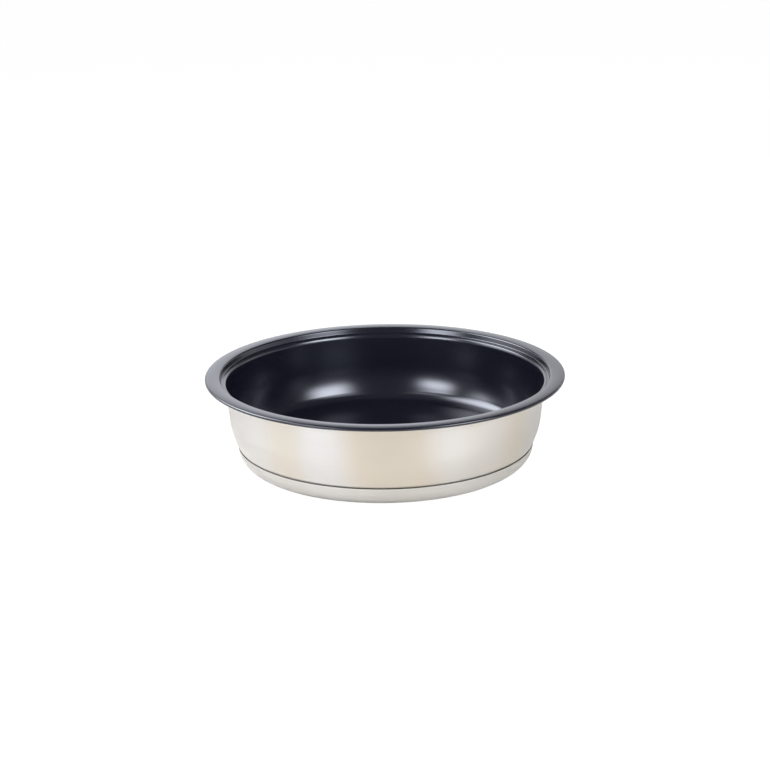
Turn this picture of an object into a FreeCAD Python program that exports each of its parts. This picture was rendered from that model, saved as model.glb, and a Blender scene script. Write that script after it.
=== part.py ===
# Handleless round pan: a drawn steel shell with a non-stick lining, standing on a thick aluminium
# core that a steel capsule holds against the underside.
# Millimetres, +Z up. The origin is on the table, under the centre of the base.
import FreeCAD, Part
import math
import os
from collections import namedtuple

# Overall height, from the table to the crest of the flange
PAN_HEIGHT = 69.2

# Sheets and coating
SHELL_SHEET = 0.7
COATING = 0.25
CAPSULE_SHEET = 0.5

# Rim: the mouth, the level ledge round it, the sloped step that seats a lid, and the crowned flange
MOUTH_DIAMETER = 244.6
LEDGE_WIDTH = 3.4
LID_SEAT_DEPTH = 4.4
SEAT_DRAFT_DEG = 15.0
FLANGE_WIDTH = 11.1
FLANGE_CROWN_DEG = 4.5
HEM_GAP = 0.5
HEM_RETURN = 3.5

# Wall: a short flare under the mouth, a steep upper part, and a foot that tapers in to the floor
FLARE_HEIGHT = 2.4
MOUTH_FLARE_DEG = 20.0
WALL_DRAFT_DEG = 5.2
FOOT_TAPER_DEG = 22.0
FOOT_HEIGHT = 17.2

# Base: the core, and the capsule whose lip meets the shell part of the way up its floor bend
CORE_THICKNESS = 10.2
SEAM_ANGLE_DEG = 53.0
SEAM_CLEARANCE = 0.35
CORE_RECESS_DEG = 9.0
CAPSULE_DRAFT_DEG = 6.0
CAPSULE_SKIRT = 2.5

# Shallow hollow pressed into the underside, so that the pan stands on a ring
HOLLOW_DIAMETER = 110.0
HOLLOW_RAMP = 8.0
HOLLOW_DEPTH = 0.5
HOLLOW_BEND = 12.0

# Bend radii, each on the tight side of its bend
FLOOR_BEND = 10.0
FOOT_BLEND = 62.0
FLARE_BEND = 6.0
MOUTH_BEND = 0.6
SEAT_FOOT_BEND = 0.9
SEAT_LIP_BEND = 0.3

# A lined wall's full thickness, measured square to the sheet
LINED_SHEET = SHELL_SHEET + COATING
HEM_RADIUS = HEM_GAP / 2 + LINED_SHEET

# Crown of the flange: two slopes that meet in one arc, which runs out to the bend of the hem
CROWN = math.radians(FLANGE_CROWN_DEG)
HALF_FLANGE = FLANGE_WIDTH / 2
HEM_REACH = HEM_RADIUS * math.tan((math.pi / 2 - CROWN) / 2)
CROWN_BEND = (HALF_FLANGE / math.cos(CROWN) - HEM_REACH) / math.tan(CROWN)

# Heights
SHELL_UNDERSIDE = CAPSULE_SHEET + CORE_THICKNESS
FLOOR = SHELL_UNDERSIDE + LINED_SHEET
FOOT_TOP = FLOOR + FOOT_HEIGHT
CREST = PAN_HEIGHT + CROWN_BEND * (1 / math.cos(CROWN) - 1)
RIM = CREST - HALF_FLANGE * math.tan(CROWN)
LEDGE = RIM - LID_SEAT_DEPTH
NECK = LEDGE - FLARE_HEIGHT
HEM_FOOT = RIM - 2 * HEM_RADIUS

# Radii of the lined inside, from the mouth out to the flange and down to the floor
MOUTH_RADIUS = MOUTH_DIAMETER / 2
SEAT_RADIUS = MOUTH_RADIUS + LEDGE_WIDTH
LIP_RADIUS = SEAT_RADIUS + LID_SEAT_DEPTH * math.tan(math.radians(SEAT_DRAFT_DEG))
CREST_RADIUS = LIP_RADIUS + HALF_FLANGE
FLANGE_RADIUS = LIP_RADIUS + FLANGE_WIDTH
NECK_RADIUS = MOUTH_RADIUS - FLARE_HEIGHT * math.tan(math.radians(MOUTH_FLARE_DEG))
FOOT_TOP_RADIUS = NECK_RADIUS - (NECK - FOOT_TOP) * math.tan(math.radians(WALL_DRAFT_DEG))
FLOOR_CORNER_RADIUS = FOOT_TOP_RADIUS - FOOT_HEIGHT * math.tan(math.radians(FOOT_TAPER_DEG))
FLOOR_TURN = math.radians(90 - FOOT_TAPER_DEG)
FLOOR_FLAT_RADIUS = FLOOR_CORNER_RADIUS - FLOOR_BEND * math.tan(FLOOR_TURN / 2)

# One corner of a half section: radius from the axis, height, and the bend that rounds it
Corner = namedtuple("Corner", "r z bend", defaults=(0.0,))


def direction(a, b):
    """Unit direction of the straight run from corner a to corner b."""
    length = math.hypot(b.r - a.r, b.z - a.z)
    return (b.r - a.r) / length, (b.z - a.z) / length


def turn_between(ahead, after):
    """Signed turn from one direction to the next, positive to the left."""
    cross = ahead[0] * after[1] - ahead[1] * after[0]
    along = ahead[0] * after[0] + ahead[1] * after[1]
    return math.atan2(cross, along)


def offset_right(path, distance):
    """Move a half section to its right: right turns tighten by the distance and left turns open."""
    runs = [direction(a, b) for a, b in zip(path, path[1:])]
    moved = []
    for corner, ahead, after in zip(path, runs[:1] + runs, runs + runs[-1:]):
        turn = turn_between(ahead, after)
        # The mitre keeps both runs at the same distance from where they were
        reach = distance / (1 + math.cos(turn))
        r = corner.r + reach * (ahead[1] + after[1])
        z = corner.z - reach * (ahead[0] + after[0])
        bend = corner.bend + math.copysign(distance, turn) if corner.bend else 0.0
        moved.append(Corner(r, z, bend))
    return moved


def point(r, z):
    """Place a half-section point in the XZ plane."""
    return FreeCAD.Vector(r, 0, z)


def straight(a, b):
    """One straight edge in a list, or an empty list where two bends meet end to end."""
    nothing = 1e-6
    return [Part.makeLine(a, b)] if a.distanceToPoint(b) > nothing else []


def path_edges(path):
    """Straight runs of a half section, with a tangent arc at every bent corner."""
    edges = []
    start = point(path[0].r, path[0].z)
    for before, corner, following in zip(path, path[1:], path[2:]):
        ahead = direction(before, corner)
        after = direction(corner, following)
        turn = turn_between(ahead, after)
        reach = corner.bend * math.tan(abs(turn) / 2)
        # The arc's middle lies on the line that halves the corner
        sag = corner.bend * (1 / math.cos(turn / 2) - 1)
        spread = 2 * math.sin(abs(turn) / 2)
        middle = point(corner.r + sag * (after[0] - ahead[0]) / spread,
                       corner.z + sag * (after[1] - ahead[1]) / spread)
        enter = point(corner.r - reach * ahead[0], corner.z - reach * ahead[1])
        leave = point(corner.r + reach * after[0], corner.z + reach * after[1])
        edges += straight(start, enter)
        if corner.bend:
            edges.append(Part.Arc(enter, middle, leave).toShape())
        start = leave
    return edges + straight(start, point(path[-1].r, path[-1].z))


def turned_between(under, over):
    """Turn the section between two paths, which both start on the axis, about the axis."""
    rim = straight(point(under[-1].r, under[-1].z), point(over[-1].r, over[-1].z))
    axis = straight(point(over[0].r, over[0].z), point(under[0].r, under[0].z))
    outline = path_edges(under) + rim + path_edges(over)[::-1] + axis
    section = Part.Face(Part.Wire(Part.sortEdges(outline)[0]))
    return section.revolve(FreeCAD.Vector(0, 0, 0), FreeCAD.Vector(0, 0, 1), 360)


def lined_face(rim_end):
    """Inside of the pan from the middle of the floor up, over the flange and round its edge."""
    return [
        Corner(0, FLOOR),
        Corner(FLOOR_CORNER_RADIUS, FLOOR, FLOOR_BEND),
        Corner(FOOT_TOP_RADIUS, FOOT_TOP, FOOT_BLEND),
        Corner(NECK_RADIUS, NECK, FLARE_BEND + LINED_SHEET),
        Corner(MOUTH_RADIUS, LEDGE, MOUTH_BEND + LINED_SHEET),
        Corner(SEAT_RADIUS, LEDGE, SEAT_FOOT_BEND),
        Corner(LIP_RADIUS, RIM, SEAT_LIP_BEND + LINED_SHEET),
        Corner(CREST_RADIUS, CREST, CROWN_BEND),
        Corner(FLANGE_RADIUS, RIM, HEM_RADIUS),
        Corner(FLANGE_RADIUS, HEM_FOOT, HEM_RADIUS),
        Corner(rim_end, HEM_FOOT),
    ]


def underside_to(angle_deg):
    """Underside of the shell from its middle out and up the floor bend to an angle from straight down."""
    angle = math.radians(angle_deg)
    bend = FLOOR_BEND + LINED_SHEET
    return [
        Corner(0, SHELL_UNDERSIDE),
        Corner(FLOOR_FLAT_RADIUS + bend * math.tan(angle / 2), SHELL_UNDERSIDE, bend),
        Corner(FLOOR_FLAT_RADIUS + bend * math.sin(angle), SHELL_UNDERSIDE + bend * (1 - math.cos(angle))),
    ]


def capsule_face():
    """Underside of the base from the middle of the hollow out and up to the capsule's lip."""
    seam = underside_to(SEAM_ANGLE_DEG)[-1]
    draft = math.radians(CAPSULE_DRAFT_DEG)
    lip_radius = seam.r + SEAM_CLEARANCE + CAPSULE_SHEET / math.cos(draft)
    # The bend takes all of the side below the straight skirt
    bend = (seam.z / math.cos(draft) - CAPSULE_SKIRT) / math.tan((math.pi / 2 - draft) / 2)
    return [
        Corner(0, HOLLOW_DEPTH),
        Corner(HOLLOW_DIAMETER / 2, HOLLOW_DEPTH, HOLLOW_BEND),
        Corner(HOLLOW_DIAMETER / 2 + HOLLOW_RAMP, 0, HOLLOW_BEND),
        Corner(lip_radius - seam.z * math.tan(draft), 0, bend),
        Corner(lip_radius, seam.z),
    ]


def capsule_inner_face(top):
    """Inside of the capsule, cut off level at a height on its straight skirt."""
    face = offset_right(capsule_face(), -CAPSULE_SHEET)
    end = face[-1]
    fall = (end.z - top) * math.tan(math.radians(CAPSULE_DRAFT_DEG))
    return face[:-1] + [Corner(end.r - fall, top)]


def make_pan_shell():
    """Drawn steel shell with its lid seat, its flange and the hem turned under the flange's edge."""
    face = lined_face(FLANGE_RADIUS - HEM_RADIUS - HEM_RETURN)
    return turned_between(offset_right(face, LINED_SHEET), offset_right(face, COATING))


def make_nonstick_lining():
    """Coating over the inside, the ledge, the flange and the rolled edge."""
    face = lined_face(FLANGE_RADIUS - HEM_RADIUS)
    return turned_between(offset_right(face, COATING), face)


def make_base_capsule():
    """Steel dish that holds the core, with its lip just clear of the shell's floor bend."""
    face = capsule_face()
    return turned_between(face, capsule_inner_face(face[-1].z))


def make_base_core():
    """Aluminium pressed between the capsule and the shell, up round the floor bend to the seam."""
    over = underside_to(SEAM_ANGLE_DEG - CORE_RECESS_DEG)
    return turned_between(capsule_inner_face(over[-1].z), over)


PIECES = {
    "pan_shell": make_pan_shell,
    "nonstick_lining": make_nonstick_lining,
    "base_core": make_base_core,
    "base_capsule": make_base_capsule,
}

os.makedirs("parts", exist_ok=True)
for name, make in PIECES.items():
    shape = make()
    shape.exportStep(f"parts/{name}.step")
    print(f"{name}: {shape.Volume / 1000:.1f} cm3, {len(shape.Solids)} solid, valid {shape.isValid()}")
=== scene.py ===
"""Looks of a handleless round pan: satin steel outside, blue-black non-stick inside, capsule base.

Every piece is a half section turned once round the Z axis. Lengths are metres, in the frame of the
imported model, with the origin on the table under the middle of the base.
"""

import logging
import math
from dataclasses import dataclass
from enum import Enum

import bpy
import numpy as np
from mathutils import Matrix, Vector


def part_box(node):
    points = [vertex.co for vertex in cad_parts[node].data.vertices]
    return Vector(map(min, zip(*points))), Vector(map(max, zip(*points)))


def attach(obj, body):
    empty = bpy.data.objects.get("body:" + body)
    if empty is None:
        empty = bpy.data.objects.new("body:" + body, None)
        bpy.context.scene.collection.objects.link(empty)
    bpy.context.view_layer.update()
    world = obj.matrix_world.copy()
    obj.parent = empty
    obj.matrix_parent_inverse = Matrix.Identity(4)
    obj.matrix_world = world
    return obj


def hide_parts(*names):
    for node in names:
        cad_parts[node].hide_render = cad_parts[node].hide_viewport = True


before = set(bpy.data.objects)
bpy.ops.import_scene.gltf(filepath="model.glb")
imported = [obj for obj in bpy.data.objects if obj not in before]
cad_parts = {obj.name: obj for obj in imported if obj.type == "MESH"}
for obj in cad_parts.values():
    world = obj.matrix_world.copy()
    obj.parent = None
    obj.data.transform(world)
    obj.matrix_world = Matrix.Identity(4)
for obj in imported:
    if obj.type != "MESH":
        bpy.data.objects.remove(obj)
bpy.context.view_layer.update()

LOG = logging.getLogger("pan")

# Units, in metres
MM = 0.001
MICRON = 0.001 * MM

# The body that every piece rides on, and the attribute that holds the distance along a section
BODY = "root"
RUN = "run"

# The photograph's side in pixels, and the width of the camera's film in millimetres
PHOTO_PIXELS = 770
SENSOR = 36.0

# Close points near the ends of a straight run: their distance from the end, at most a share of the run
HOLD = 0.12 * MM
HOLD_SHARE = 0.25

# Points nearer to each other than this are one point
NOTHING = 0.1 * MICRON

# Share of a full turn that lays a highlight across the lines, and the mean of a noise
ACROSS_THE_LINES = 0.25
NOISE_MIDDLE = 0.5

Colour = tuple[float, float, float]
Paint = Colour | bpy.types.NodeSocket
Settings = dict[str, object]
Inputs = dict[str | int, object]

WHITE: Colour = (1.0, 1.0, 1.0)


class Piece(Enum):
    """Pieces of the pan, each named for the node that it stands for."""

    SHELL = "pan_shell"
    LINING = "nonstick_lining"
    CORE = "base_core"
    CAPSULE = "base_capsule"


class Slot(Enum):
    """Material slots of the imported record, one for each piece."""

    SHELL = "shell_steel"
    LINING = "nonstick"
    CORE = "core_aluminium"
    CAPSULE = "capsule_steel"


class Role(Enum):
    """What a lamp does: a lamp lights and shows in gloss, a card only shows, and a fill only lights."""

    LAMP = "lamp"
    CARD = "card"
    FILL = "fill"


def opaque(colour: Colour) -> tuple[float, float, float, float]:
    """The colour with a full alpha, as a node's socket takes it."""
    return (*colour, 1.0)


class Value:
    """One number in a node tree, so that shader maths reads as plain arithmetic."""

    def __init__(self, tree: "NodeTree", socket: bpy.types.NodeSocket) -> None:
        """Wrap an output socket of the given tree."""
        self.tree = tree
        self.socket = socket

    def worked(self, operation: str, first: "Value | float", second: "Value | float") -> "Value":
        """Add one Math node.

        Args:
            operation: the Math node's operation.
            first: its first number.
            second: its second number.

        Returns:
            The node's result.
        """
        return self.tree.value("ShaderNodeMath", {"operation": operation}, {0: first, 1: second})

    def __add__(self, other: "Value | float") -> "Value":
        """Sum."""
        return self.worked("ADD", self, other)

    def __radd__(self, other: "Value | float") -> "Value":
        """Sum with a number on the left."""
        return self.worked("ADD", other, self)

    def __sub__(self, other: "Value | float") -> "Value":
        """Difference."""
        return self.worked("SUBTRACT", self, other)

    def __rsub__(self, other: "Value | float") -> "Value":
        """Difference from a number on the left."""
        return self.worked("SUBTRACT", other, self)

    def __mul__(self, other: "Value | float") -> "Value":
        """Product."""
        return self.worked("MULTIPLY", self, other)

    def __rmul__(self, other: "Value | float") -> "Value":
        """Product with a number on the left."""
        return self.worked("MULTIPLY", other, self)

    def at_most(self, other: "Value | float") -> "Value":
        """The smaller of the two."""
        return self.worked("MINIMUM", self, other)


class NodeTree:
    """A node tree that is filled by one method for every kind of node."""

    def __init__(self, nodes_of: bpy.types.ID) -> None:
        """Empty the node tree of a material, a world or a lamp and take it over.

        Args:
            nodes_of: what the tree belongs to.
        """
        nodes_of.use_nodes = True
        self.tree = nodes_of.node_tree
        self.tree.nodes.clear()

    def node(self, kind: str, settings: Settings, inputs: Inputs) -> bpy.types.Node:
        """Add one node.

        Args:
            kind: the node's type.
            settings: properties of the node, set before its sockets.
            inputs: the socket's name or number, with a Value, an output socket or a constant.

        Returns:
            The new node.
        """
        made = self.tree.nodes.new(kind)
        for name, setting in settings.items():
            setattr(made, name, setting)
        for key, given in inputs.items():
            source = given.socket if isinstance(given, Value) else given
            if isinstance(source, bpy.types.NodeSocket):
                self.tree.links.new(source, made.inputs[key])
            else:
                made.inputs[key].default_value = source
        return made

    def value(self, kind: str, settings: Settings, inputs: Inputs, output: str | int = 0) -> Value:
        """Add one node that gives a number.

        Args:
            kind: the node's type.
            settings: properties of the node, set before its sockets.
            inputs: the socket's name or number, with a Value, an output socket or a constant.
            output: the name or number of the output to take.

        Returns:
            That output.
        """
        return Value(self, self.node(kind, settings, inputs).outputs[output])

    def split(self, vector: bpy.types.NodeSocket) -> tuple[Value, Value, Value]:
        """Take a vector apart.

        Args:
            vector: the vector's socket.

        Returns:
            Its x, y and z.
        """
        apart = self.node("ShaderNodeSeparateXYZ", {}, {0: vector})
        x, y, z = (Value(self, output) for output in apart.outputs)
        return x, y, z

    def joined(self, x: Value, y: Value, z: Value | float = 0.0) -> bpy.types.NodeSocket:
        """Put a vector together.

        Args:
            x: its first number.
            y: its second number.
            z: its third number.

        Returns:
            The vector's socket.
        """
        return self.node("ShaderNodeCombineXYZ", {}, {0: x, 1: y, 2: z}).outputs[0]

    def noise(
        self, vector: bpy.types.NodeSocket, detail: float = 0.0, scale: float = 1.0, seed: float = 0.0
    ) -> Value:
        """Add smooth noise.

        Args:
            vector: where on the pattern to look.
            detail: finer layers on top of the first.
            scale: bumps per unit of the vector.
            seed: which of the possible patterns to use.

        Returns:
            A number from about 0 to 1.
        """
        inputs = {"Vector": vector, "W": seed, "Scale": scale, "Detail": detail}
        return self.value("ShaderNodeTexNoise", {"noise_dimensions": "4D"}, inputs)

    def rising(self, value: Value, start: float, end: float, low: float = 0.0, high: float = 1.0) -> Value:
        """Add a smooth step.

        Args:
            value: the number that drives the step.
            start: where the step begins.
            end: where it ends.
            low: the result before the start.
            high: the result after the end.

        Returns:
            The step's height.
        """
        return self.value("ShaderNodeMapRange", {"interpolation_type": "SMOOTHSTEP"}, {
            "Value": value, "From Min": start, "From Max": end, "To Min": low, "To Max": high,
        })

    def mix(self, share: Value, low: Paint, high: Paint) -> bpy.types.NodeSocket:
        """Mix two colours.

        Args:
            share: how much of the second colour is taken, from 0 to 1.
            low: the colour at 0.
            high: the colour at 1.

        Returns:
            The mixed colour.
        """
        colour_a, colour_b, colour_out = 6, 7, 2
        ends = [opaque(paint) if isinstance(paint, tuple) else paint for paint in (low, high)]
        inputs = {"Factor": share, colour_a: ends[0], colour_b: ends[1]}
        return self.node("ShaderNodeMix", {"data_type": "RGBA"}, inputs).outputs[colour_out]

    def bump(self, height: Value) -> bpy.types.NodeSocket:
        """Add a bump.

        Args:
            height: its height in metres.

        Returns:
            The bumped normal.
        """
        inputs = {"Strength": 1.0, "Distance": 1.0, "Height": height}
        return self.node("ShaderNodeBump", {}, inputs).outputs[0]

    def rays(self) -> tuple[Value, Value]:
        """Tell apart the rays that reach a surface.

        Returns:
            1 for a ray straight from the camera or through glass, and 1 for a ray that gloss mirrors.
        """
        path = self.node("ShaderNodeLightPath", {}, {})
        camera = Value(self, path.outputs["Is Camera Ray"])
        through = Value(self, path.outputs["Is Transmission Ray"])
        glossy = Value(self, path.outputs["Is Glossy Ray"])
        return (camera + through).at_most(1.0), glossy


@dataclass(frozen=True)
class BrushedMetal:
    """Metal polished round the axis, which leaves fine lines along the turning.

    Args:
        dull: colour in the valleys of the brushing.
        bright: colour on its crests.
        warm_reflection: painted warm reflection, laid as faint warm patches round the wall.
        seam_shade: colour of the painted shade along the seam of the base, a dark line that stands for the
            shaded groove.
        seam: height of that line.
        roughness: mean roughness.
        spread: how far the lines move the roughness.
        anisotropy: how much a highlight smears across the lines.
        pitch: width of one line.
        depth: height of one line.
        line_length: length of one line round the axis.
        line_detail: finer layers in the lines.
        band_pitches: lines across one band of colour.
        band_length: length of one band round the axis.
        band_detail: finer layers in the bands.
        patch: width of one patch of painted warm reflection.
        patch_seed: which of the possible patterns of patches is used.
        patch_start: noise at which a patch begins.
        patch_full: noise at which a patch is full.
        plain_below: height up to which there is no tint.
        tinted_above: height from which the tint is full.
        seam_core: half the width of the seam's line where it is full.
        seam_fade: half its width where it has faded out.
    """

    dull: Colour
    bright: Colour
    warm_reflection: Colour
    seam_shade: Colour
    seam: float
    roughness: float
    spread: float
    anisotropy: float
    pitch: float
    depth: float
    line_length: float = 40 * MM
    line_detail: float = 2.0
    band_pitches: float = 12.0
    band_length: float = 150 * MM
    band_detail: float = 1.0
    patch: float = 35 * MM
    patch_seed: float = 922.5
    patch_start: float = 0.35
    patch_full: float = 0.65
    plain_below: float = 0.5 * MM
    tinted_above: float = 6 * MM
    seam_core: float = 0.03 * MM
    seam_fade: float = 0.28 * MM

    def material(self, name: str) -> bpy.types.Material:
        """Make the material.

        The lines are noise at (x / length, y / length, run / pitch), which changes fast along the section
        and slowly round the axis, and the bands are the same at a coarser size.

        Args:
            name: the material's name.

        Returns:
            A material whose lines follow the run of the section and go round the axis.
        """
        made = bpy.data.materials.new(name)
        tree = NodeTree(made)
        x, y, height = tree.split(tree.node("ShaderNodeTexCoord", {}, {}).outputs["Object"])
        run = tree.value("ShaderNodeAttribute", {"attribute_name": RUN}, {}, "Fac")
        line_scale, band_scale = 1 / self.line_length, 1 / self.band_length
        band_pitch = self.band_pitches * self.pitch
        line_place = tree.joined(x * line_scale, y * line_scale, run * (1 / self.pitch))
        band_place = tree.joined(x * band_scale, y * band_scale, run * (1 / band_pitch))
        lines = tree.noise(line_place, self.line_detail)
        bands = tree.noise(band_place, self.band_detail)
        metal = tree.mix(bands, self.dull, self.bright)
        # painted warm reflection: warm patches are mixed into the base colour
        tinted = tree.mix(self.warm_reflection_patches(tree, x, y, height), metal, self.warm_reflection)
        line_rough = self.spread * (lines - NOISE_MIDDLE)
        band_rough = self.spread * (bands - NOISE_MIDDLE)
        shader = tree.node("ShaderNodeBsdfPrincipled", {}, {
            # painted shade: the seam's dark line is mixed into the base colour here
            "Base Color": tree.mix(self.seam_shade_mask(tree, height), tinted, self.seam_shade),
            "Metallic": 1.0,
            "Roughness": self.roughness + line_rough + band_rough,
            "Anisotropic": self.anisotropy,
            "Anisotropic Rotation": ACROSS_THE_LINES,
            "Normal": tree.bump(self.depth * lines),
        })
        tree.node("ShaderNodeOutputMaterial", {}, {"Surface": shader.outputs[0]})
        return made

    def warm_reflection_patches(self, tree: NodeTree, x: Value, y: Value, height: Value) -> Value:
        """Place the painted warm reflection: smooth patches up the wall, which fade out towards the
        underside.

        Args:
            tree: the tree to add to.
            x: place across.
            y: place from front to back.
            height: place above the table.

        Returns:
            The share of painted warm reflection.
        """
        place = tree.joined(x * (1 / self.patch), y * (1 / self.patch))
        share = tree.rising(tree.noise(place, seed=self.patch_seed), self.patch_start, self.patch_full)
        return share * tree.rising(height, self.plain_below, self.tinted_above)

    def seam_shade_mask(self, tree: NodeTree, height: Value) -> Value:
        """Place the painted seam shade: full at the seam's height, and fading above and below it.

        Args:
            tree: the tree to add to.
            height: place above the table.

        Returns:
            The share of painted seam shade.
        """
        above = height - self.seam
        return tree.rising(above.at_most(0 - above), -self.seam_fade, -self.seam_core)


@dataclass(frozen=True)
class NonstickCoat:
    """Sprayed blue-black coating: satin, with a faint orange peel and fine grain.

    Args:
        deep: colour of the coat.
        fleck: colour of its fine pigment flecks.
        roughness: mean roughness.
        peel: size of one orange-peel bump.
        peel_depth: height of one orange-peel bump.
        grain: size of one grain of pigment.
        ior: index of refraction of the coat.
        sheen: tint of its reflections.
        peel_detail: finer layers in the orange peel.
        grain_detail: finer layers in the grain.
        grain_spread: how far the grain moves the roughness.
    """

    deep: Colour
    fleck: Colour
    roughness: float
    peel: float
    peel_depth: float
    grain: float
    ior: float
    sheen: Colour
    peel_detail: float = 1.0
    grain_detail: float = 2.0
    grain_spread: float = 0.06

    def material(self, name: str) -> bpy.types.Material:
        """Make the material.

        Args:
            name: the material's name.

        Returns:
            A dark glossy material with bump and grain.
        """
        made = bpy.data.materials.new(name)
        tree = NodeTree(made)
        place = tree.node("ShaderNodeTexCoord", {}, {}).outputs["Object"]
        peel = tree.noise(place, self.peel_detail, 1 / self.peel)
        grain = tree.noise(place, self.grain_detail, 1 / self.grain)
        shader = tree.node("ShaderNodeBsdfPrincipled", {}, {
            "Base Color": tree.mix(grain, self.deep, self.fleck),
            "Roughness": self.roughness + self.grain_spread * (grain - NOISE_MIDDLE),
            "IOR": self.ior,
            "Specular Tint": opaque(self.sheen),
            "Normal": tree.bump(self.peel_depth * peel),
        })
        tree.node("ShaderNodeOutputMaterial", {}, {"Surface": shader.outputs[0]})
        return made


def cross(ahead: np.ndarray, after: np.ndarray) -> np.ndarray:
    """Cross product of each pair of directions, positive where the second turns to the left."""
    return ahead[:, 0] * after[:, 1] - ahead[:, 1] * after[:, 0]


@dataclass(frozen=True)
class HalfSection:
    """A line of corners in the plane of radius and height, each rounded by a bend of its own.

    Args:
        corners: (radius, height) rows.
        bends: the bend radius at each corner, or 0 where it stays sharp.
    """

    corners: np.ndarray
    bends: np.ndarray

    @classmethod
    def of(cls, *corners: tuple[float, ...]) -> "HalfSection":
        """Make a half section from its corners.

        Args:
            corners: (radius, height) or (radius, height, bend) of each corner.

        Returns:
            The half section.
        """
        sharp = 0.0
        rows = np.array([(*corner, sharp)[:3] for corner in corners], float)
        return cls(rows[:, :2], rows[:, 2])

    def directions(self) -> np.ndarray:
        """Unit direction of each straight run."""
        runs = np.diff(self.corners, axis=0)
        return runs / np.linalg.norm(runs, axis=1, keepdims=True)

    def moved_right(self, distance: float) -> "HalfSection":
        """Move the whole line to its right.

        A corner moves along its mitre, so that both runs keep the distance. A bend to the right tightens
        by the distance and a bend to the left opens by it.

        Args:
            distance: how far to move, or to the left where it is negative.

        Returns:
            The moved half section.
        """
        runs = self.directions()
        ahead = np.vstack([runs[:1], runs])
        after = np.vstack([runs, runs[-1:]])
        along = np.sum(ahead * after, axis=1)
        both = (ahead + after) * (distance / (1 + along))[:, None]
        moved = self.corners + np.stack([both[:, 1], -both[:, 0]], axis=1)
        opened = self.bends + np.sign(cross(ahead, after)) * distance
        return HalfSection(moved, np.where(self.bends > 0, opened, 0.0))

    def closed_by(self, over: "HalfSection", edge: float) -> "HalfSection":
        """Go out along this line and back along another, with the sheet's cut edge rounded.

        Args:
            over: the line that closes the section from above.
            edge: bend of the two corners where the lines meet.

        Returns:
            One line from the axis out and back to the axis.
        """
        bends = np.concatenate([self.bends[:-1], [edge, edge], over.bends[-2::-1]])
        return HalfSection(np.vstack([self.corners, over.corners[::-1]]), bends)

    def arcs(self, steps: int) -> np.ndarray:
        """Points of every bend.

        A bend is the arc that touches both of its runs: it enters bend * tan(turn / 2) before the corner,
        and goes round a centre that lies square to the run at the entry.

        Args:
            steps: steps in each bend.

        Returns:
            (radius, height) points, by inner corner and step.
        """
        runs = self.directions()
        ahead, after = runs[:-1], runs[1:]
        turn = np.arctan2(cross(ahead, after), np.sum(ahead * after, axis=1))
        bend = self.bends[1:-1]
        reach = (bend * np.tan(np.abs(turn) / 2))[:, None]
        enter = self.corners[1:-1] - reach * ahead
        side = np.sign(turn)[:, None] * np.stack([-ahead[:, 1], ahead[:, 0]], axis=1)
        centre = (enter + bend[:, None] * side)[:, None, :]
        spoke = enter[:, None, :] - centre
        square = np.stack([-spoke[..., 1], spoke[..., 0]], axis=-1)
        angle = (turn[:, None] * np.linspace(0, 1, steps + 1))[..., None]
        return centre + np.cos(angle) * spoke + np.sin(angle) * square

    def straights(self, arcs: np.ndarray, steps: int) -> np.ndarray:
        """Points of every straight run, from the end of one bend to the start of the next.

        A run has close points at its ends, which hold the shading of flat strips flat.

        Args:
            arcs: the points of the bends.
            steps: steps in each run, between its close ends.

        Returns:
            (radius, height) points, by run and step.
        """
        starts = np.vstack([self.corners[:1], arcs[:, -1]])
        ends = np.vstack([arcs[:, 0], self.corners[-1:]])
        length = np.linalg.norm(ends - starts, axis=1)
        near = np.minimum(HOLD / np.maximum(length, HOLD), HOLD_SHARE)[:, None]
        inner = near + (1 - 2 * near) * np.linspace(0, 1, steps + 1)
        share = np.hstack([np.zeros_like(near), inner, np.ones_like(near)])[..., None]
        return starts[:, None, :] + share * (ends - starts)[:, None, :]

    def sampled(self, arc_steps: int, run_steps: int) -> np.ndarray:
        """Points along the whole line, with its runs and bends in turn.

        Args:
            arc_steps: steps in each bend.
            run_steps: steps in each straight run, between its close ends.

        Returns:
            An array of (radius, height) rows, none of them twice in a row.
        """
        arcs = self.arcs(arc_steps)
        lines = self.straights(arcs, run_steps)
        parts = [part for pair in zip(lines, arcs) for part in pair]
        points = np.concatenate([*parts, lines[-1]])
        apart = np.linalg.norm(np.diff(points, axis=0), axis=1) > NOTHING
        return points[np.concatenate([[True], apart])]


def closed_faces(rings: int, segments: int) -> list[list[int]]:
    """Faces of a turned surface that ends in a pole under its first ring and one over its last.

    Vertex s of ring r has the number r * segments + s, and the two poles come after all rings.

    Args:
        rings: how many rings there are.
        segments: vertices in each ring.

    Returns:
        The vertices of each face, so that it faces outwards.
    """
    place = np.arange(rings * segments).reshape(rings, segments)
    following = np.roll(place, -1, axis=1)
    sides = np.stack([place[:-1], following[:-1], following[1:], place[1:]], axis=-1)
    pole = np.full(segments, rings * segments)
    under = np.stack([pole, following[0], place[0]], axis=-1)
    over = np.stack([place[-1], following[-1], pole + 1], axis=-1)
    return sides.reshape(-1, sides.shape[-1]).tolist() + under.tolist() + over.tolist()


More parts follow.
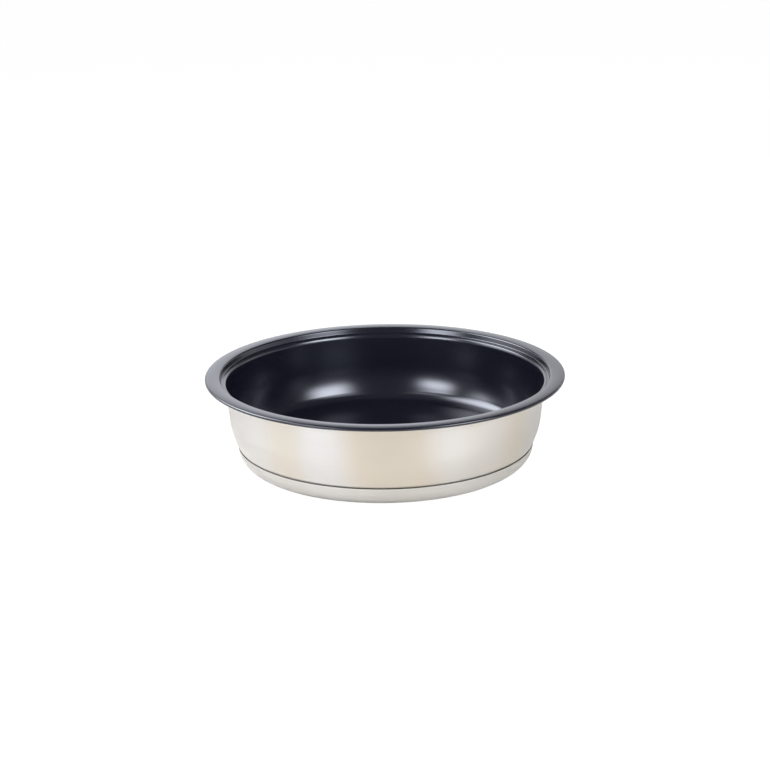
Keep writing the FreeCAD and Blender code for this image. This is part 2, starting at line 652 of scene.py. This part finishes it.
def turned_object(name: str, outline: np.ndarray, segments: int) -> bpy.types.Object:
    """Carry a half outline once round the Z axis.

    A point at radius r and height z goes to (r cos a, r sin a, z) for every angle a. The first and the last
    point lie on the axis and stay single, as the poles. Each vertex keeps its distance along the outline.

    Args:
        name: the object's name.
        outline: (radius, height) rows, from the axis out along the underside and back along the top.
        segments: steps round the axis.

    Returns:
        A closed object at the origin, with its faces outwards.
    """
    angle = 2 * np.pi * np.arange(segments) / segments
    radius = outline[1:-1, :1]
    height = np.repeat(outline[1:-1, 1:], segments, axis=1)
    rings = np.stack([radius * np.cos(angle), radius * np.sin(angle), height], axis=-1)
    poles = np.array([[0, 0, outline[0, 1]], [0, 0, outline[-1, 1]]])
    points = np.vstack([rings.reshape(-1, 3), poles])
    mesh = bpy.data.meshes.new(name)
    mesh.from_pydata(points.tolist(), [], closed_faces(len(rings), segments))
    mesh.shade_smooth()
    step = np.linalg.norm(np.diff(outline, axis=0), axis=1)
    run = np.concatenate([[0.0], np.cumsum(step)])
    values = np.concatenate([np.repeat(run[1:-1], segments), run[[0, -1]]])
    mesh.attributes.new(RUN, "FLOAT", "POINT").data.foreach_set("value", values.astype(np.float32))
    made = bpy.data.objects.new(name, mesh)
    bpy.context.scene.collection.objects.link(made)
    return made


@dataclass
class PanPiece:
    """What every turned piece of the pan shares: a node, a slot, and the fineness of its mesh.

    Args:
        piece: the piece, named for its node.
        slot: the piece's material slot in the imported record; not used.
        arc_steps: steps in each bend.
        run_steps: steps in each straight run.
        segments: steps round the axis.
    """

    piece: Piece
    slot: Slot
    arc_steps: int = 10
    run_steps: int = 4
    segments: int = 256

    def dressed(self, section: HalfSection, material: bpy.types.Material) -> bpy.types.Object:
        """Turn a closed section, give it its material and let it stand for its node.

        Args:
            section: the closed half section.
            material: the finish.

        Returns:
            The finished piece.
        """
        outline = section.sampled(self.arc_steps, self.run_steps)
        made = turned_object(f"{self.piece.value}_visual", outline, self.segments)
        made.data.materials.append(material)
        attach(made, BODY)
        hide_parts(self.piece.value)
        LOG.info("%s: %d faces", made.name, len(made.data.polygons))
        return made


@dataclass
class Vessel:
    """The drawn steel shell and the coating on it, from the floor to the hem.

    Args:
        height: from the table to the crest of the flange.
        flange_radius: radius of the flange's edge.
        floor: height of the lined floor.
        shell_sheet: thickness of the steel.
        coating: thickness of the coating.
        cut_edge: rounding of the steel's cut edge.
        coat_edge: rounding of the coating's edge.
        flare_height: height of the flare under the mouth.
        mouth_flare: its angle from upright.
        ledge_width: width of the level ledge round the mouth.
        seat_depth: depth of the lid seat below the flange's lip.
        seat_draft: angle of the lid seat's step from upright.
        flange_width: from the flange's lip to its edge.
        flange_crown: angle of the flange's two slopes from level.
        hem_gap: opening inside the hem.
        hem_return: straight length of the hem under the flange.
        wall_draft: angle of the wall from upright.
        foot_taper: angle of the wall's foot from upright.
        foot_height: height of the foot above the floor.
        floor_bend: bend between floor and foot, inside.
        foot_blend: bend between foot and wall, inside.
        flare_bend: bend between wall and flare, on its tight side.
        mouth_bend: bend at the mouth, on its tight side.
        seat_foot_bend: bend at the foot of the lid seat's step, inside.
        seat_lip_bend: bend at the flange's lip, on its tight side.
    """

    height: float
    flange_radius: float
    floor: float
    shell_sheet: float = 0.7 * MM
    coating: float = 0.25 * MM
    cut_edge: float = 0.1 * MM
    coat_edge: float = 0.08 * MM
    flare_height: float = 2.4 * MM
    mouth_flare: float = math.radians(20.0)
    ledge_width: float = 3.4 * MM
    seat_depth: float = 4.4 * MM
    seat_draft: float = math.radians(15.0)
    flange_width: float = 11.1 * MM
    flange_crown: float = math.radians(4.5)
    hem_gap: float = 0.5 * MM
    hem_return: float = 3.5 * MM
    wall_draft: float = math.radians(5.2)
    foot_taper: float = math.radians(22.0)
    foot_height: float = 17.2 * MM
    floor_bend: float = 10.0 * MM
    foot_blend: float = 62.0 * MM
    flare_bend: float = 6.0 * MM
    mouth_bend: float = 0.6 * MM
    seat_foot_bend: float = 0.9 * MM
    seat_lip_bend: float = 0.3 * MM

    def __post_init__(self) -> None:
        """Work out the sizes that follow from the others, from the flange in to the floor."""
        self.lined_sheet = self.shell_sheet + self.coating
        self.hem_radius = self.hem_gap / 2 + self.lined_sheet
        half_width = self.flange_width / 2
        hem_reach = self.hem_radius * math.tan((math.pi / 2 - self.flange_crown) / 2)
        slope = math.tan(self.flange_crown)
        self.crown_bend = (half_width / math.cos(self.flange_crown) - hem_reach) / slope
        self.crest_radius = self.flange_radius - half_width
        self.crest = self.height + self.crown_bend * (1 / math.cos(self.flange_crown) - 1)
        self.rim = self.crest - half_width * slope
        self.lip_radius = self.flange_radius - self.flange_width
        self.ledge = self.rim - self.seat_depth
        self.seat_radius = self.lip_radius - self.seat_depth * math.tan(self.seat_draft)
        self.mouth_radius = self.seat_radius - self.ledge_width
        self.foot_top = self.floor + self.foot_height
        self.neck = self.ledge - self.flare_height
        self.neck_radius = self.mouth_radius - self.flare_height * math.tan(self.mouth_flare)
        self.foot_top_radius = self.neck_radius - (self.neck - self.foot_top) * math.tan(self.wall_draft)
        self.floor_corner = self.foot_top_radius - self.foot_height * math.tan(self.foot_taper)
        self.floor_flat = self.floor_corner - self.floor_bend * math.tan((math.pi / 2 - self.foot_taper) / 2)

    def lined_face(self, rim_end: float) -> HalfSection:
        """Inside of the pan from the middle of the floor up, over the flange and round its edge.

        Args:
            rim_end: radius at which the face ends, under the flange.

        Returns:
            The visible face of the coating.
        """
        hem_foot = self.rim - 2 * self.hem_radius
        return HalfSection.of(
            (0.0, self.floor),
            (self.floor_corner, self.floor, self.floor_bend),
            (self.foot_top_radius, self.foot_top, self.foot_blend),
            (self.neck_radius, self.neck, self.flare_bend + self.lined_sheet),
            (self.mouth_radius, self.ledge, self.mouth_bend + self.lined_sheet),
            (self.seat_radius, self.ledge, self.seat_foot_bend),
            (self.lip_radius, self.rim, self.seat_lip_bend + self.lined_sheet),
            (self.crest_radius, self.crest, self.crown_bend),
            (self.flange_radius, self.rim, self.hem_radius),
            (self.flange_radius, hem_foot, self.hem_radius),
            (rim_end, hem_foot),
        )

    def shell(self, finish: BrushedMetal) -> bpy.types.Object:
        """Make the drawn steel shell, with its hem turned under the flange.

        Args:
            finish: the steel's finish.

        Returns:
            The dressed shell.
        """
        face = self.lined_face(self.flange_radius - self.hem_radius - self.hem_return)
        section = face.moved_right(self.lined_sheet).closed_by(face.moved_right(self.coating), self.cut_edge)
        return PanPiece(Piece.SHELL, Slot.SHELL).dressed(section, finish.material("satin_steel"))

    def lining(self, finish: NonstickCoat) -> bpy.types.Object:
        """Make the coating over the inside, the ledge, the flange and its edge.

        Args:
            finish: the coating's finish.

        Returns:
            The dressed lining.
        """
        face = self.lined_face(self.flange_radius - self.hem_radius)
        section = face.moved_right(self.coating).closed_by(face, self.coat_edge)
        return PanPiece(Piece.LINING, Slot.LINING).dressed(section, finish.material("nonstick_coat"))


@dataclass
class Base:
    """The aluminium core and the steel capsule that wraps it, with the seam below the shell's floor bend.

    Args:
        vessel: the vessel that the base is under.
        capsule_sheet: thickness of the capsule's steel.
        seam_angle: where on the shell's floor bend the capsule's lip is, from straight down.
        seam_clearance: gap between the lip and the shell.
        core_recess: angle along the bend by which the core ends before the lip.
        capsule_draft: angle of the capsule's skirt from upright.
        capsule_skirt: straight length of the skirt.
        hollow_radius: radius of the shallow hollow underneath.
        hollow_ramp: width of the hollow's slope.
        hollow_depth: depth of the hollow.
        hollow_bend: bends of the hollow's slope.
        cut_edge: rounding of the capsule's cut edge.
        core_edge: rounding of the core's edge.
    """

    vessel: Vessel
    capsule_sheet: float = 0.5 * MM
    seam_angle: float = math.radians(53.0)
    seam_clearance: float = 0.35 * MM
    core_recess: float = math.radians(9.0)
    capsule_draft: float = math.radians(6.0)
    capsule_skirt: float = 2.5 * MM
    hollow_radius: float = 55.0 * MM
    hollow_ramp: float = 8.0 * MM
    hollow_depth: float = 0.5 * MM
    hollow_bend: float = 12.0 * MM
    cut_edge: float = 0.12 * MM
    core_edge: float = 0.05 * MM

    @property
    def seam(self) -> float:
        """Height of the capsule's lip, on the shell's floor bend."""
        return float(self.underside_to(self.seam_angle).corners[-1, 1])

    def underside_to(self, angle: float) -> HalfSection:
        """Underside of the shell from its middle out and up the floor bend.

        Args:
            angle: where on the bend the line ends, from straight down.

        Returns:
            The line, on the shell's own face.
        """
        bend = self.vessel.floor_bend + self.vessel.lined_sheet
        level = self.vessel.floor - self.vessel.lined_sheet
        flat = self.vessel.floor_flat
        return HalfSection.of(
            (0.0, level),
            (flat + bend * math.tan(angle / 2), level, bend),
            (flat + bend * math.sin(angle), level + bend * (1 - math.cos(angle))),
        )

    def capsule_face(self) -> HalfSection:
        """Underside of the base from the middle of the hollow out and up to the capsule's lip.

        Returns:
            The capsule's outer face, whose bend takes all of the side below the straight skirt.
        """
        seam_radius, seam = self.underside_to(self.seam_angle).corners[-1]
        draft = self.capsule_draft
        lip_radius = seam_radius + self.seam_clearance + self.capsule_sheet / math.cos(draft)
        bend = (seam / math.cos(draft) - self.capsule_skirt) / math.tan((math.pi / 2 - draft) / 2)
        return HalfSection.of(
            (0.0, self.hollow_depth),
            (self.hollow_radius, self.hollow_depth, self.hollow_bend),
            (self.hollow_radius + self.hollow_ramp, 0.0, self.hollow_bend),
            (lip_radius - seam * math.tan(draft), 0.0, bend),
            (lip_radius, seam),
        )

    def capsule_inner_face(self, top: float) -> HalfSection:
        """Inside of the capsule, cut off level at a height on its straight skirt.

        Args:
            top: that height.

        Returns:
            The capsule's inner face.
        """
        face = self.capsule_face().moved_right(-self.capsule_sheet)
        corners = face.corners.copy()
        corners[-1, 0] -= (corners[-1, 1] - top) * math.tan(self.capsule_draft)
        corners[-1, 1] = top
        return HalfSection(corners, face.bends)

    def capsule(self, finish: BrushedMetal) -> bpy.types.Object:
        """Make the steel capsule.

        Args:
            finish: the steel's finish.

        Returns:
            The dressed capsule.
        """
        face = self.capsule_face()
        section = face.closed_by(self.capsule_inner_face(face.corners[-1, 1]), self.cut_edge)
        return PanPiece(Piece.CAPSULE, Slot.CAPSULE).dressed(section, finish.material("capsule_steel"))

    def core(self, finish: BrushedMetal) -> bpy.types.Object:
        """Make the aluminium core, up round the floor bend to just inside the seam.

        Args:
            finish: the aluminium's finish.

        Returns:
            The dressed core.
        """
        over = self.underside_to(self.seam_angle - self.core_recess)
        section = self.capsule_inner_face(over.corners[-1, 1]).closed_by(over, self.core_edge)
        return PanPiece(Piece.CORE, Slot.CORE).dressed(section, finish.material("core_aluminium"))


@dataclass(frozen=True)
class Softbox:
    """A soft lamp that faces the pan, brightest in the middle of its cloth.

    Args:
        name: the lamp's name.
        azimuth: direction from the pan, in degrees from the camera's side, positive to the right.
        elevation: degrees above the table.
        distance: from the pan's middle.
        width: across.
        height: up.
        radiance: brightness of the middle of its cloth, where 1 is white.
        role: what the lamp does.
        colour: tint of its light.
        edge: share of the cloth over which the light fades, from its rim inwards.
    """

    name: str
    azimuth: float
    elevation: float
    distance: float
    width: float
    height: float
    radiance: float
    role: Role = Role.LAMP
    colour: Colour = (0.94, 0.96, 1.0)
    edge: float = 0.4

    def hang(self, target: Vector) -> bpy.types.Object:
        """Add the lamp, turned towards a target.

        Its power is its radiance times pi times the area of its cloth.

        Args:
            target: the point that it faces.

        Returns:
            The lamp's object.
        """
        turn, rise = math.radians(self.azimuth), math.radians(self.elevation)
        away = Vector((math.sin(turn) * math.cos(rise), -math.cos(turn) * math.cos(rise), math.sin(rise)))
        lamp = bpy.data.lights.new(self.name, "AREA")
        lamp.shape = "RECTANGLE"
        lamp.size = self.width
        lamp.size_y = self.height
        lamp.energy = self.radiance * math.pi * self.width * self.height
        lamp.color = self.colour
        self.fade(lamp)
        made = bpy.data.objects.new(self.name, lamp)
        made.location = target + away * self.distance
        made.rotation_euler = away.to_track_quat("Z", "Y").to_euler()
        made.visible_glossy = self.role is not Role.FILL
        made.visible_diffuse = self.role is not Role.CARD
        bpy.context.scene.collection.objects.link(made)
        LOG.info("lamp %s", self.name)
        return made

    def fade(self, lamp: bpy.types.Light) -> None:
        """Let the cloth's light rise smoothly from nothing at its rim to full at the edge's width.

        Args:
            lamp: the lamp to give the fade to.
        """
        tree = NodeTree(lamp)
        across, up, _ = tree.split(tree.node("ShaderNodeNewGeometry", {}, {}).outputs["Parametric"])
        sideways = tree.rising(across.at_most(1 - across), 0.0, self.edge)
        upwards = tree.rising(up.at_most(1 - up), 0.0, self.edge)
        glow = tree.node("ShaderNodeEmission", {}, {"Strength": sideways * upwards})
        tree.node("ShaderNodeOutputLight", {}, {"Surface": glow.outputs[0]})


@dataclass(frozen=True)
class Studio:
    """A plain pale floor, a white surround that is dark overhead, and soft lamps.

    Args:
        lamps: the lamps.
        fill: the surround's strength in soft light.
        overhead: its strength overhead, in gloss.
        sweep_lean: how much higher the white reaches behind the pan than in front of it.
        sweep_edge: rise at which the white begins to darken, in gloss.
        sweep_end: rise at which it is as dark as overhead.
        floor_size: side of the floor.
        floor_gap: how far the floor lies below the pan's foot.
        floor_seen: white that the floor shows to the camera, to which the lamps add theirs.
        floor_mirrored: white that it shows in gloss, to which the lamps add theirs.
        floor_colour: its colour under the lamps.
        floor_shadow: its colour to the camera, which keeps a faint shadow in the white.
    """

    lamps: tuple[Softbox, ...]
    fill: float = 0.30
    overhead: float = 0.14
    sweep_lean: float = 0.16
    sweep_edge: float = 0.12
    sweep_end: float = 0.30
    floor_size: float = 8.0
    floor_gap: float = 0.01 * MM
    floor_seen: float = 0.94
    floor_mirrored: float = 0.02
    floor_colour: Colour = (0.715, 0.694, 0.658)
    floor_shadow: Colour = (0.16, 0.16, 0.16)

    def build(self, target: Vector) -> None:
        """Set up the surround, the floor and the lamps.

        Args:
            target: the point that the lamps face.
        """
        bpy.context.scene.view_settings.view_transform = "Standard"
        self.light_surround()
        self.lay_floor()
        for lamp in self.lamps:
            lamp.hang(target)

    def light_surround(self) -> None:
        """White to the camera, white near the horizon in gloss, and an even fill for soft light."""
        world = bpy.data.worlds.new("surround")
        bpy.context.scene.world = world
        tree = NodeTree(world)
        seen, glossy = tree.rays()
        _, back, rise = tree.split(tree.node("ShaderNodeTexCoord", {}, {}).outputs["Generated"])
        leaning = rise - self.sweep_lean * back
        sweep = tree.rising(leaning, self.sweep_edge, self.sweep_end, 1.0, self.overhead)
        strength = seen + (1 - seen) * (glossy * sweep + (1 - glossy) * self.fill)
        glow = tree.node("ShaderNodeBackground", {}, {"Color": opaque(WHITE), "Strength": strength})
        tree.node("ShaderNodeOutputWorld", {}, {"Surface": glow.outputs[0]})

    def lay_floor(self) -> None:
        """Lay a square floor just below the pan's foot."""
        half = self.floor_size / 2
        corners = [(-half, -half, 0.0), (half, -half, 0.0), (half, half, 0.0), (-half, half, 0.0)]
        mesh = bpy.data.meshes.new("floor")
        mesh.from_pydata(corners, [], [range(len(corners))])
        mesh.materials.append(self.pale_floor())
        made = bpy.data.objects.new("floor", mesh)
        made.location.z = -self.floor_gap
        bpy.context.scene.collection.objects.link(made)

    def pale_floor(self) -> bpy.types.Material:
        """White to the camera with a faint shadow, and a pale lit floor in reflections.

        Returns:
            The floor's material.
        """
        made = bpy.data.materials.new("pale_floor")
        tree = NodeTree(made)
        seen, glossy = tree.rays()
        glow = self.floor_seen * seen + self.floor_mirrored * glossy
        paper = tree.mix(seen, self.floor_colour, self.floor_shadow)
        lit = tree.node("ShaderNodeBsdfDiffuse", {}, {"Color": paper})
        shine = tree.node("ShaderNodeEmission", {}, {"Color": opaque(WHITE), "Strength": glow})
        both = tree.node("ShaderNodeAddShader", {}, {0: lit.outputs[0], 1: shine.outputs[0]})
        tree.node("ShaderNodeOutputMaterial", {}, {"Surface": both.outputs[0]})
        return made


@dataclass(frozen=True)
class PhotoCamera:
    """The camera at the photograph's place.

    Args:
        focal: focal length in the photograph's pixels.
        distance: from the camera to the middle of the flange's top, along the view.
        elevation: degrees above the table.
        roll: degrees that the camera leans to its right.
        drop: how far the view's axis passes below the middle of the flange's top.
    """

    focal: float = 1980.4
    distance: float = 1.5219
    elevation: float = 17.28
    roll: float = 0.814
    drop: float = 10.13 * MM

    def place(self, flange_middle: Vector) -> bpy.types.Object:
        """Add the camera and make it the scene's own.

        The lens is to the film's width as the focal length in pixels is to the photograph's side.

        Args:
            flange_middle: the middle of the flange's top.

        Returns:
            The camera's object.
        """
        rise, lean = math.radians(self.elevation), math.radians(self.roll)
        ahead = Vector((0.0, math.cos(rise), -math.sin(rise)))
        level_up = Vector((0.0, math.sin(rise), math.cos(rise)))
        level_right = Vector((1.0, 0.0, 0.0))
        right = math.cos(lean) * level_right - math.sin(lean) * level_up
        up = math.cos(lean) * level_up + math.sin(lean) * level_right
        data = bpy.data.cameras.new("photo_camera")
        data.sensor_width = SENSOR
        data.lens = SENSOR * self.focal / PHOTO_PIXELS
        made = bpy.data.objects.new("photo_camera", data)
        turn = Matrix((right, up, -ahead)).transposed()
        spot = flange_middle - self.distance * ahead - self.drop * level_up
        made.matrix_world = Matrix.Translation(spot) @ turn.to_4x4()
        bpy.context.scene.collection.objects.link(made)
        bpy.context.scene.camera = made
        return made


def photo_lamps() -> tuple[Softbox, ...]:
    """Lamps where the pan's reflections in the photograph show them.

    Returns:
        The two front lamps with their spill, the card at the left, the two fills and the lamp behind.
    """
    return (
        Softbox(
            name="right_front", azimuth=48.5, elevation=24.6, distance=1.2,
            width=1.00, height=0.60, radiance=14.2,
        ),
        Softbox(
            name="right_spill", azimuth=46.0, elevation=46.0, distance=1.2,
            width=0.80, height=0.50, radiance=2.8,
        ),
        Softbox(
            name="left_front", azimuth=-43.5, elevation=18.2, distance=1.2,
            width=0.84, height=0.41, radiance=14.2,
        ),
        Softbox(
            name="left_spill", azimuth=-43.0, elevation=43.0, distance=1.2,
            width=0.80, height=0.50, radiance=2.5,
        ),
        Softbox(
            name="left_card", azimuth=-104.5, elevation=35.0, distance=1.2,
            width=1.62, height=1.50, radiance=10.6, role=Role.CARD,
        ),
        Softbox(
            name="left_fill", azimuth=-80.0, elevation=40.0, distance=0.9,
            width=0.90, height=0.90, radiance=7.0, role=Role.FILL,
        ),
        Softbox(
            name="right_fill", azimuth=80.0, elevation=40.0, distance=1.2,
            width=0.90, height=0.90, radiance=4.5, role=Role.FILL,
        ),
        Softbox(
            name="behind", azimuth=188.5, elevation=15.5, distance=1.6,
            width=1.60, height=0.80, radiance=0.90, colour=(0.86, 0.90, 1.04),
        ),
    )


def main() -> None:
    """Build the pan, its studio and its camera."""
    logging.basicConfig(level=logging.INFO, format="%(name)s %(message)s")
    lowest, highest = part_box(Piece.LINING.value)
    vessel = Vessel(height=highest.z, flange_radius=highest.x, floor=lowest.z + Vessel.coating)
    base = Base(vessel)
    # Painted shade: the dark line along the seam stands for the shade in its groove
    seam_shade = (0.085, 0.075, 0.066)
    # Painted warm reflection: the third colour of each metal is laid in warm patches round the wall
    satin = BrushedMetal(
        dull=(0.685, 0.678, 0.672), bright=(0.715, 0.707, 0.700), warm_reflection=(0.675, 0.620, 0.540),
        seam_shade=seam_shade, seam=base.seam,
        roughness=0.38, spread=0.08, anisotropy=0.6,
        pitch=0.25 * MM, depth=0.8 * MICRON,
    )
    # Painted shade: the capsule's colours are darker than the shell's, standing for the shaded floor that it
    # mirrors near the table
    pressed = BrushedMetal(
        dull=(0.62, 0.61, 0.60), bright=(0.66, 0.65, 0.64), warm_reflection=(0.635, 0.619, 0.597),
        seam_shade=seam_shade, seam=base.seam,
        roughness=0.36, spread=0.10, anisotropy=0.55,
        pitch=0.3 * MM, depth=1.2 * MICRON,
    )
    # Painted shade: the core shows only in the seam's gap, so its aluminium is coloured near black to stand
    # for the shade there
    aluminium = BrushedMetal(
        dull=(0.06, 0.055, 0.05), bright=(0.10, 0.095, 0.085), warm_reflection=(0.08, 0.07, 0.06),
        seam_shade=seam_shade, seam=base.seam,
        roughness=0.5, spread=0.15, anisotropy=0.2,
        pitch=0.2 * MM, depth=2.0 * MICRON,
    )
    coat = NonstickCoat(
        deep=(0.0038, 0.0044, 0.0092), fleck=(0.0055, 0.0062, 0.0122), sheen=(0.88, 0.91, 1.0),
        roughness=0.2, ior=1.66,
        peel=1.4 * MM, peel_depth=0.8 * MICRON, grain=0.3 * MM,
    )
    vessel.shell(satin)
    vessel.lining(coat)
    base.core(aluminium)
    base.capsule(pressed)
    flange_middle = Vector((0.0, 0.0, vessel.rim))
    Studio(photo_lamps()).build(flange_middle)
    PhotoCamera().place(flange_middle)


if __name__ == "__main__":
    main()
